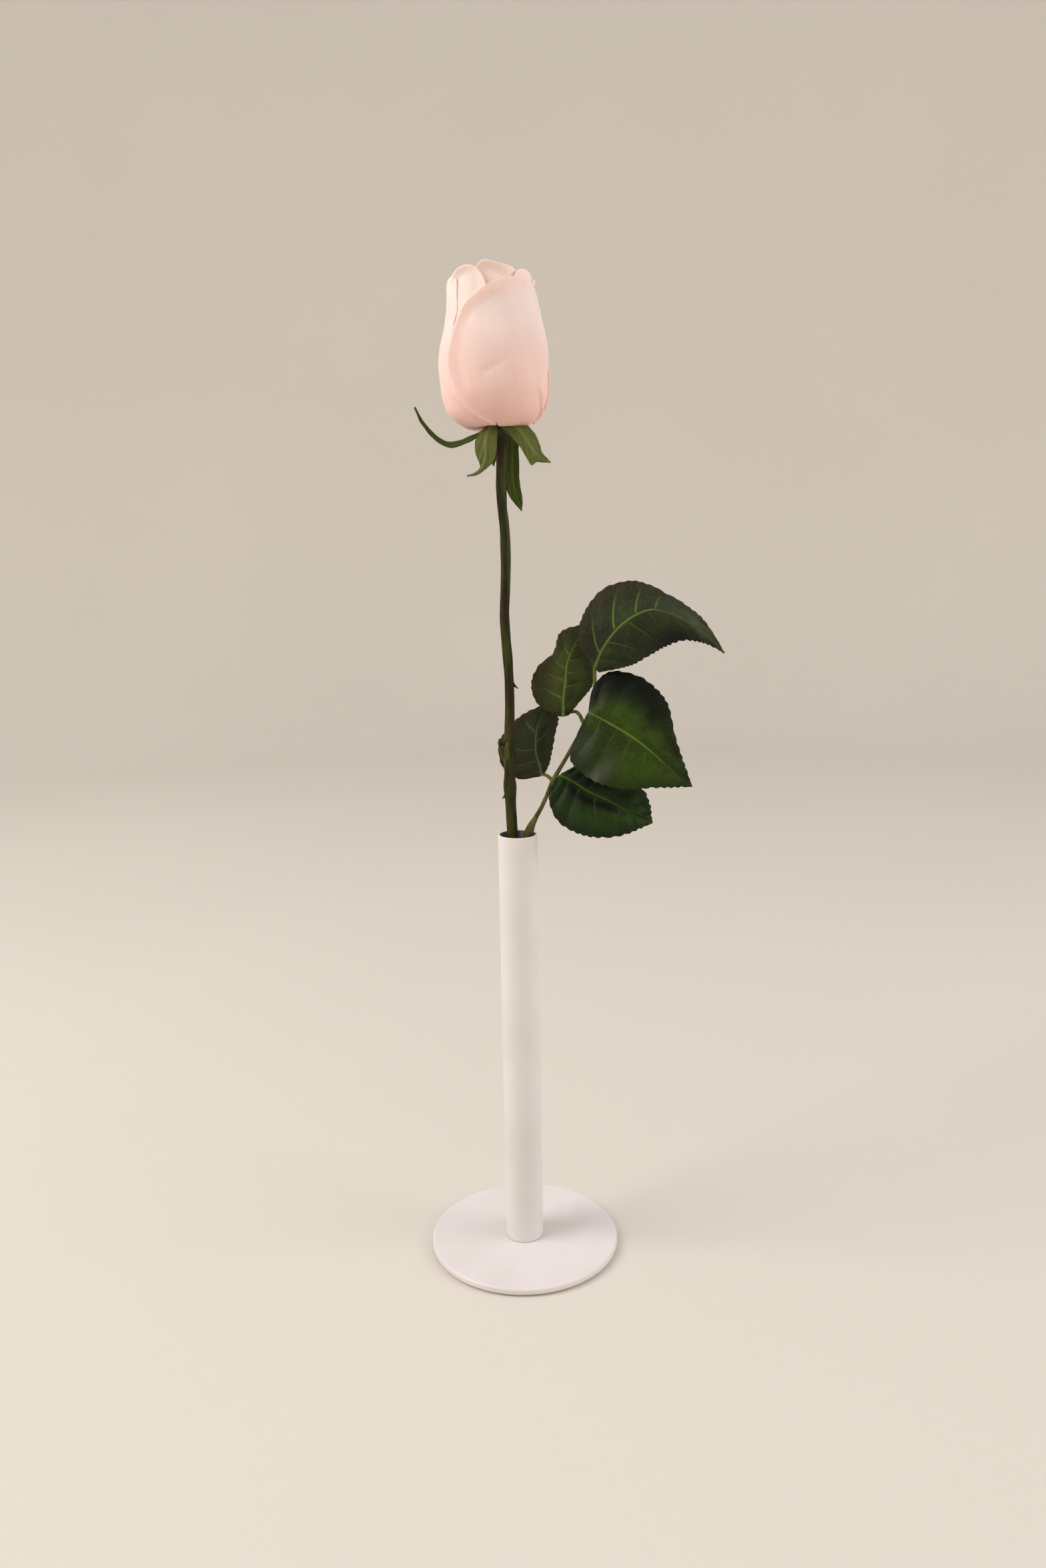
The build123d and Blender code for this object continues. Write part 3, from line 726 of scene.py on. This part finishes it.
def bud_to_frame(points):
    """Points about the bud's own axis, leaned and put on top of the stem."""
    x, y, z = points[..., 0], points[..., 1], points[..., 2]
    cosine, sine = math.cos(BUD_LEAN), math.sin(BUD_LEAN)
    return np.stack([x * cosine + z * sine, y, z * cosine - x * sine], axis=-1) + BUD_FOOT


def bud_point(turn, run, lift):
    """Point on the bud at an angle in degrees from the front and a run along its outline, lifted square to it."""
    radius = np.interp(run, outline_at, outline[:, 0])
    height = np.interp(run, outline_at, outline[:, 1])
    rise_r = np.interp(run, outline_at, outline_slope[:, 0])
    rise_h = np.interp(run, outline_at, outline_slope[:, 1])
    angle = np.radians(turn)
    radius = (radius + lift * rise_h) * (1 - LEFT_FULLNESS * np.sin(angle))
    height = height - lift * rise_r
    return np.stack([radius * np.sin(angle), -radius * np.cos(angle), height], axis=-1)


PETAL_RINGS = 54
PETAL_AROUND = 220
PETAL_THICKNESS = 0.6
ROLL_WIDTH = 5.2                 # width of the margin that rolls outward
ROLL_TURN = math.radians(115)
RIPPLE_HEIGHT = 0.4


def make_petal(name, margin, inset, replaced, finish, dents):
    """Cloth petal on the bud: margin is (angle, run, roll) all round, filled by rings about its middle."""
    edge = closed_curve(margin, PETAL_AROUND)
    centre = np.array([(edge[:, 0].min() + edge[:, 0].max()) / 2, (edge[:, 1].min() + edge[:, 1].max()) / 2])
    share = np.linspace(0, 1, PETAL_RINGS)[:, None]
    roll = np.clip(edge[:, 2], 0, 1)[None, :]
    mm_per_degree = math.radians(1) * 20.0
    reach = np.hypot((edge[:, 0] - centre[0]) * mm_per_degree, edge[:, 1] - centre[1])[None, :]
    curl_width = np.minimum(ROLL_WIDTH, reach * 0.4)
    walked = reach * share
    over = np.maximum(walked - (reach - curl_width), 0)
    curl_radius = curl_width / ROLL_TURN
    curl = over / curl_radius * roll
    safe = np.maximum(roll, 1e-3)
    kept = np.where(over > 0, reach - curl_width + curl_radius / safe * np.sin(curl), walked)
    raised = np.where(over > 0, curl_radius / safe * (1 - np.cos(curl)), 0)
    ratio = kept / reach
    turn = centre[0] + (edge[:, 0] - centre[0])[None, :] * ratio
    run = centre[1] + (edge[:, 1] - centre[1])[None, :] * ratio
    flat = bud_point(turn, run, -inset)
    # All petals share one ripple, so that they lie close on each other.
    ripple = RIPPLE_HEIGHT * (bumps(flat, 11.0, 20.0) + 0.35 * bumps(flat * [1, 1, 0.5], 4.0, 27.0))
    top_edge = ease(run, 50.0, 75.0)
    ripple = ripple * (1 + 0.8 * top_edge * share)
    for (turn_a, run_a), (turn_b, run_b), depth in dents:
        line = np.array([(turn_b - turn_a) * mm_per_degree, run_b - run_a])
        place = np.stack([(turn - turn_a) * mm_per_degree, run - run_a], axis=-1)
        along = np.clip((place @ line) / (line @ line), 0, 1)
        away = np.linalg.norm(place - along[..., None] * line, axis=-1)
        ripple = ripple - depth * np.exp(-((away / DENT_WIDTH) ** 2)) * (1 - 0.5 * along)
    grid = bud_point(turn, run, raised - inset + ripple)
    from_rim = (reach - walked) * np.ones_like(turn)
    body = PETAL_THICKNESS * np.sqrt(np.clip(from_rim / 0.6, 0.12, 1))
    # The rings wrap, so the sheet is closed at its middle with a fan and at its margin with a rim.
    wrapped = np.concatenate([grid[:, -1:], grid, grid[:, :1]], axis=1)
    normals = unit(np.cross(np.gradient(wrapped, axis=1), np.gradient(wrapped, axis=0)))[:, 1:-1]
    outward = bud_point(turn, run, 1.0 - inset) - flat
    middle_normal = unit(outward[1].mean(0))
    normals[0] = middle_normal
    facing = np.sign((normals[1:8] * middle_normal).sum())
    normals[1:] *= facing
    offset = normals * (body / 2)[..., None]
    upper = grid + offset
    lower = grid - offset
    rows = PETAL_RINGS - 1
    count = rows * PETAL_AROUND
    verts = np.vstack([upper[1:].reshape(-1, 3), lower[1:].reshape(-1, 3), upper[:1, 0], lower[:1, 0]])
    faces = strip_faces(rows, PETAL_AROUND, wrap=True)
    faces += strip_faces(rows, PETAL_AROUND, count, flip=True, wrap=True)
    rim = count - PETAL_AROUND
    for n in range(PETAL_AROUND):
        after = (n + 1) % PETAL_AROUND
        faces.append([2 * count, after, n])
        faces.append([2 * count + 1, count + n, count + after])
        faces.append([rim + n, rim + after, count + rim + after, count + rim + n])
    both = lambda values: np.concatenate([values[1:].ravel(), values[1:].ravel(), values[0, :1], values[0, :1]])
    attributes = {"along": both(run / outline_at[-1]), "rim": both(from_rim)}
    return add_piece(name, (bud_to_frame(verts), faces), "rose", finish, [replaced], attributes)


# Petals from the outside in: margin as (angle from the front, run along the outline, roll), inset, CAD petal.
PETALS = {
    "rose_petal_front": (
        [(40, 2, 0), (-10, 2, 0), (-12, 8, 0), (-20, 13, 0.1), (-33, 19, 0.2), (-43, 26, 0.3), (-50, 38, 0.4),
         (-45, 50, 0.45), (-36, 59.5, 0.5), (-19, 65.6, 0.55), (0, 69.6, 0.55), (25, 71.6, 0.5), (44, 71.8, 0.5),
         (58, 70, 0.4), (72, 64, 0.3), (82, 56, 0.2), (76, 46, 0.1), (69, 40, 0.2), (62, 34, 0.35), (57, 30, 0.2),
         (55, 26, 0.35), (59, 22.5, 0.2), (68, 18, 0.3), (78, 12, 0), (85, 5, 0)],
        0.1, "petal_outer_1", "outer", [((-10, 34.5), (7, 38.0), 0.55), ((52, 22.0), (63, 36.0), 0.4)]),
    "rose_petal_left": (
        [(-70, 2, 0), (0, 2, 0), (2, 8, 0), (-14, 15, 0), (-25, 28, 0), (-38, 40, 0.0), (-41, 52, 0.0),
         (-46, 60, 0.0), (-48, 67, 0.05), (-48, 71.6, 0.1), (-57, 74.4, 0.1), (-72, 74.8, 0.1),
         (-84, 74.6, 0.05), (-97, 73.0, 0.0), (-120, 69, 0.1), (-145, 62, 0.3), (-158, 50, 0.4), (-160, 35, 0.1),
         (-165, 18, 0), (-160, 4, 0)],
        0.75, "petal_outer_2", "outer", [((-70, 24.0), (-62, 40.0), 0.3)]),
    "rose_petal_back": (
        [(130, 3, 0), (115, 12, 0), (110, 28, 0.2), (114, 45, 0.5), (126, 60, 0.7), (150, 69, 0.8), (180, 72, 0.8),
         (205, 70, 0.7), (225, 62, 0.6), (234, 48, 0.4), (232, 30, 0.1), (225, 14, 0), (210, 3, 0)],
        0.1, "petal_outer_3", "outer", [((165, 30.0), (185, 44.0), 0.4)]),
    "rose_petal_right": (
        [(90, 2, 0), (40, 4, 0), (34, 14, 0), (36, 30, 0), (42, 45, 0), (54, 60, 0.1), (64, 68, 0.25),
         (76, 72.4, 0.4), (90, 73.6, 0.5), (108, 73, 0.6), (130, 71, 0.6), (155, 68, 0.6), (172, 58, 0.5),
         (178, 45, 0.3), (172, 28, 0), (160, 14, 0), (140, 3, 0)],
        1.5, "petal_middle_1", "outer", [((96, 28.0), (90, 46.0), 0.3)]),
    "rose_petal_left_inner": (
        [(-60, 30, 0), (-20, 35, 0), (-4, 60, 0), (-8, 70, 0.2), (-17, 75.4, 0.4), (-28, 77.4, 0.5),
         (-42, 77.0, 0.5), (-58, 74.0, 0.3), (-85, 72.0, 0.1), (-110, 69, 0.1), (-122, 55, 0), (-105, 38, 0)],
        0.95, "petal_middle_2", "inner", []),
    "rose_petal_right_inner": (
        [(50, 40, 0), (85, 45, 0), (96, 62, 0.2), (88, 69, 0.2), (76, 73.6, 0.3), (63, 75.6, 0.35), (50, 75.8, 0.35),
         (38, 74.4, 0.3), (27, 69, 0.2), (28, 50, 0)],
        1.5, "petal_middle_3", "inner", []),
    "rose_petal_top_centre": (
        [(0, 40, 0), (40, 45, 0), (64, 58, 0), (60, 68, 0), (50, 73.6, 0), (38, 75.8, 0.1), (24, 76.8, 0.35), (6, 78.0, 0.55),
         (-8, 79.0, 0.55), (-16, 78.4, 0.5), (-22, 76, 0.4), (-29, 69, 0.2), (-36, 55, 0), (-30, 42, 0)],
        2.0, "petal_inner_1", "inner", []),
    "rose_petal_back_inner": (
        [(180, 40, 0), (120, 45, 0), (95, 62, 0.2), (105, 73, 0.5), (140, 76, 0.7), (180, 75.5, 0.7),
         (220, 76, 0.7), (250, 73, 0.5), (262, 62, 0.2), (240, 45, 0)],
        2.2, "petal_inner_2", "inner", []),
}
DENT_WIDTH = 1.5                 # half width of a dent's groove


def make_heart():
    """Innermost petal, wound in a spiral and closing over the bud's middle."""
    rows, cols = 46, 260
    wind = np.linspace(0, 1, cols)[None, :] * np.ones((rows, 1))
    up = np.linspace(0, 1, rows)[:, None] * np.ones((1, cols))
    angle = np.radians(60 + 640 * wind)
    top = 65.0 - 3.0 * wind + 1.0 * np.sin(angle * 1.3) - 5.0 * (1 - ease(wind, 0.0, 0.14))
    height = 34.0 + (top - 34.0) * up
    lean = 1 - 0.22 * ease(up, 0.35, 0.85) + 0.16 * ease(up, 0.86, 1.0)
    radius = (12.4 - 9.2 * wind) * lean
    points = np.stack([radius * np.sin(angle), -radius * np.cos(angle), height], axis=-1)
    points = points + unit(points * [1, 1, 0]) * (0.4 * bumps(points, 8.0, 31.0))[..., None]
    from_rim = (1 - up) * 30.0
    body = PETAL_THICKNESS * np.sqrt(np.clip(np.minimum(from_rim, 20) / 0.6, 0.12, 1))
    verts, faces = sheet_mesh(points, body)
    attributes = {"along": np.stack([height / 80, height / 80]), "rim": np.stack([from_rim, from_rim])}
    return add_piece("rose_petal_heart", (bud_to_frame(verts), faces), "rose", petal_inner_cloth,
                     ["petal_inner_3"], attributes)


def lathe_mesh(profile, sides, wobble=0.0, seed=0.0):
    """Closed body turned about the bud's axis from (radius, height) points, its ends on the axis."""
    line = smooth_curve(profile, 60)
    turn = np.linspace(0, 2 * math.pi, sides, endpoint=False)[None, :]
    rings = line[1:-1]
    grid = np.stack([rings[:, :1] * np.sin(turn), -rings[:, :1] * np.cos(turn), rings[:, 1:] + 0 * turn], axis=-1)
    grid = grid + unit(grid * [1, 1, 0]) * (wobble * bumps(grid, 4.0, seed))[..., None]
    foot = [[0, 0, line[0, 1]]]
    head = [[0, 0, line[-1, 1]]]
    verts = np.vstack([grid.reshape(-1, 3), foot, head])
    faces = strip_faces(len(rings), sides, wrap=True)
    last = len(rings) * sides
    for n in range(sides):
        after = (n + 1) % sides
        faces.append([last, after, n])
        faces.append([last + 1, last - sides + n, last - sides + after])
    return verts, faces


CORE_OUTLINE = [(0.0, 8.0), (5.0, 8.6), (9.6, 11.0), (12.6, 24.0), (12.2, 34.0), (9.0, 38.0), (0.0, 39.0)]
CUP_OUTLINE = [(0.0, -8.4), (2.2, -8.2), (2.35, -6.4), (2.7, -4.0), (3.8, -2.2), (5.6, -0.6), (6.0, 0.6), (0.0, 0.9)]


def make_bud():
    for name, (margin, inset, replaced, ring, dents) in PETALS.items():
        finish = petal_cloth if ring == "outer" else petal_inner_cloth
        make_petal(name, margin, inset, replaced, finish, dents)
    make_heart()
    verts, faces = lathe_mesh(CORE_OUTLINE, 72, 0.3, 50.0)
    add_piece("rose_foam_core", (bud_to_frame(verts), faces), "rose", core_foam, ["bud_core"])
    verts, faces = lathe_mesh(CUP_OUTLINE, 72, 0.5, 60.0)
    add_piece("rose_calyx", (bud_to_frame(verts), faces), "rose", calyx_plastic, ["calyx_cup"])


# ---------------------------------------------------------------- sepals
LEFT_SEPAL_TIP = (-40.6, -0.5, 391.4)
FRONT_SEPAL_TIP = (-18.4, -9.0, 362.2)
RIGHT_SEPAL_TIP = (16.6, -11.4, 366.9)
DOWN_SEPAL_TIP = (4.3, 4.4, 348.0)
BACK_SEPAL_TIP = (-7.6, 9.6, 367.8)
# Each sepal as its middle line and two margins, from the calyx outwards.
SEPALS = {
    "left": (1, sepal_dark, dict(
        middle=[(-8.0, -1.5, 380.4), (-12.5, -2.5, 380.0), (-17, -2.8, 378.0), (-21.7, -2.8, 376.4),
                (-25.5, -2.6, 375.9), (-30.1, -2.2, 377.8), (-34.3, -1.6, 381.6), (-37.6, -1, 385.8),
                LEFT_SEPAL_TIP],
        left=[(-8.0, 2.0, 381.0), (-12.6, 1.2, 381.0), (-17.4, 1.2, 379.4), (-21.9, 1.0, 377.8),
              (-26.4, 0.8, 377.2), (-31.0, 0.4, 379.0), (-34.8, 0.2, 382.6), (-38.0, -0.2, 386.4), LEFT_SEPAL_TIP],
        right=[(-8.0, -5.0, 379.8), (-12.5, -5.8, 379.0), (-16.8, -6.0, 376.9), (-21.5, -5.8, 375.0),
               (-25.6, -5.4, 374.4), (-30.4, -4.6, 376.4), (-34.4, -3.4, 380.6), (-37.6, -2.0, 385.2),
               LEFT_SEPAL_TIP])),
    "front": (2, sepal_light, dict(
        middle=[(-7.4, -6.4, 383.0), (-9.2, -8.6, 380.0), (-10.2, -10.0, 375.6), (-10.4, -10.6, 371.4),
                (-10.9, -10.8, 367.8), (-12.4, -10.6, 364.6), (-15.2, -9.8, 362.8), FRONT_SEPAL_TIP],
        left=[(-9.1, -5.6, 382.9), (-12.6, -7.4, 380.3), (-14.6, -8.8, 376.6), (-15.0, -9.6, 373.2),
              (-13.9, -10.2, 368.9), (-12.9, -10.4, 365.4), (-15.2, -9.9, 363.2), FRONT_SEPAL_TIP],
        right=[(-5.4, -6.8, 383.2), (-5.4, -9.2, 379.4), (-5.7, -10.4, 374.2), (-6.5, -10.9, 369.4),
               (-8.4, -11.0, 366.4), (-11.8, -10.6, 363.8), (-15.0, -9.7, 362.3), FRONT_SEPAL_TIP])),
    "right": (3, sepal_light, dict(
        middle=[(1.2, -6.8, 383.4), (3.4, -9.2, 380.4), (6.2, -10.8, 376.8), (8.6, -11.6, 373.2),
                (10.6, -12.0, 370.2), (12.8, -12.0, 368.4), RIGHT_SEPAL_TIP],
        left=[(-4.4, -6.8, 382.4), (-1.2, -9.2, 379.4), (1.8, -10.6, 376.2), (4.2, -11.2, 373.0),
              (6.6, -11.6, 369.2), (9.1, -11.8, 365.8), (10.9, -12.0, 367.0), (13.0, -12.0, 367.0),
              RIGHT_SEPAL_TIP],
        right=[(6.6, -4.4, 383.4), (9.0, -7.0, 380.8), (11.2, -9.0, 377.4), (12.4, -10.2, 373.8),
               (13.2, -11.0, 371.2), (14.8, -11.4, 369.2), RIGHT_SEPAL_TIP])),
    "down": (4, sepal_dark, dict(
        middle=[(0.2, 2.6, 381.0), (0.7, 4.8, 375.0), (0.6, 5.8, 367.0), (1.2, 5.8, 359.0), (2.9, 5.2, 352.6),
                DOWN_SEPAL_TIP],
        left=[(-3.4, 3.6, 380.6), (-2.6, 5.6, 374.0), (-2.8, 6.4, 366.0), (-2.2, 6.2, 357.7), (0.2, 5.6, 352.6),
              DOWN_SEPAL_TIP],
        right=[(4.4, 1.0, 380.0), (3.5, 3.8, 374.0), (3.5, 4.8, 367.0), (3.8, 5.0, 358.6), (4.8, 4.8, 351.8),
               DOWN_SEPAL_TIP])),
    "back": (5, sepal_dark, dict(
        middle=[(-6.0, 5.6, 381.4), (-7.2, 8.2, 377.0), (-7.8, 9.4, 372.4), BACK_SEPAL_TIP],
        left=[(-9.8, 4.0, 381.6), (-11.0, 6.8, 377.0), (-10.2, 8.8, 372.2), BACK_SEPAL_TIP],
        right=[(-2.2, 6.6, 381.4), (-3.8, 8.8, 377.0), (-5.6, 9.6, 372.4), BACK_SEPAL_TIP])),
}


def make_sepals():
    for name, (number, finish, shape) in SEPALS.items():
        mesh_data, attributes = lofted_leaf(
            **shape, veins=5, teeth=4, tooth=0.18, relief=0.35, sweep=0.3, thickness=0.7, seed=10.0 + number)
        add_piece(f"rose_sepal_{name}", mesh_data, "rose", finish, [f"sepal_{number}"], attributes)


make_stem()
make_thorns()
make_socket()
make_stalk()
make_leaflets()
make_bud()
make_sepals()

# ---------------------------------------------------------------- stage, light and camera
FLOOR_RADIUS = 1.5
WALL_RADIUS = 2.3
WALL_HEIGHT = 2.4


def make_stage():
    """Pale seamless floor that rises smoothly into a wall all round."""
    sides = 96
    profile = [(0.0, 0.0), (0.6, 0.0), (FLOOR_RADIUS, 0.0)]
    bend = WALL_RADIUS - FLOOR_RADIUS
    for step in range(1, 17):
        angle = math.radians(90) * step / 16
        profile.append((FLOOR_RADIUS + bend * math.sin(angle), bend * (1 - math.cos(angle))))
    profile.append((WALL_RADIUS, WALL_HEIGHT))
    verts = [(0.0, 0.0, 0.0)]
    for radius, height in profile[1:]:
        for n in range(sides):
            turn = 2 * math.pi * n / sides
            verts.append((radius * math.cos(turn), radius * math.sin(turn), height))
    faces = [[0, 1 + n, 1 + (n + 1) % sides] for n in range(sides)]
    faces += strip_faces(len(profile) - 1, sides, 1, flip=True, wrap=True)
    mesh = bpy.data.meshes.new("stage_floor")
    mesh.from_pydata(verts, [], faces)
    mesh.polygons.foreach_set("use_smooth", [True] * len(mesh.polygons))
    finish = Finish("stage_paper", roughness=0.9, Specular_IOR_Level=0.1, Emission_Strength=0.05)
    finish.shader.inputs["Emission Color"].default_value = (1.0, 0.985, 0.965, 1.0)
    finish.colour(finish.blend(finish.noise(400, 2), rgb(214, 206, 195), rgb(220, 212, 201)))
    mesh.materials.append(finish.material)
    stage = bpy.data.objects.new("stage_floor", mesh)
    bpy.context.scene.collection.objects.link(stage)


def make_light(name, place, target, size, power, colour):
    light = bpy.data.lights.new(name, "AREA")
    light.shape = "DISK"
    light.size = size
    light.energy = power
    light.color = colour
    lamp = bpy.data.objects.new(name, light)
    lamp.location = place
    lamp.rotation_euler = (Vector(target) - Vector(place)).to_track_quat("-Z", "Y").to_euler()
    bpy.context.scene.collection.objects.link(lamp)


CAMERA_PLACE = (0.00267, -0.50209, 0.32348)
CAMERA_PITCH = 10.824            # degrees down
CAMERA_ROLL = -0.998
CAMERA_YAW = 0.018
CAMERA_LENS = 25.917
SENSOR = 36.0


def make_camera():
    data = bpy.data.cameras.new("camera")
    data.sensor_width = SENSOR
    data.lens = CAMERA_LENS
    data.clip_start = 0.01
    data.clip_end = 50
    camera = bpy.data.objects.new("camera", data)
    camera.matrix_world = (
        Matrix.Translation(CAMERA_PLACE)
        @ Matrix.Rotation(math.radians(-CAMERA_YAW), 4, "Z")
        @ Matrix.Rotation(math.radians(90 - CAMERA_PITCH), 4, "X")
        @ Matrix.Rotation(math.radians(CAMERA_ROLL), 4, "Z")
    )
    bpy.context.scene.collection.objects.link(camera)
    bpy.context.scene.camera = camera


make_stage()
aim = (0.0, 0.0, 0.25)
make_light("key_light", (-1.38, -0.38, 1.25), aim, 1.2, 20.0, (1.0, 0.985, 0.97))
make_light("fill_light", (1.5, -0.45, 0.9), aim, 1.2, 10.5, (0.97, 0.985, 1.0))
make_camera()

world = bpy.data.worlds.new("studio_sky")
world.use_nodes = True
world.node_tree.nodes["Background"].inputs["Color"].default_value = (0.97, 0.985, 1.0, 1.0)
world.node_tree.nodes["Background"].inputs["Strength"].default_value = 0.68
bpy.context.scene.world = world
bpy.context.scene.view_settings.view_transform = "Standard"
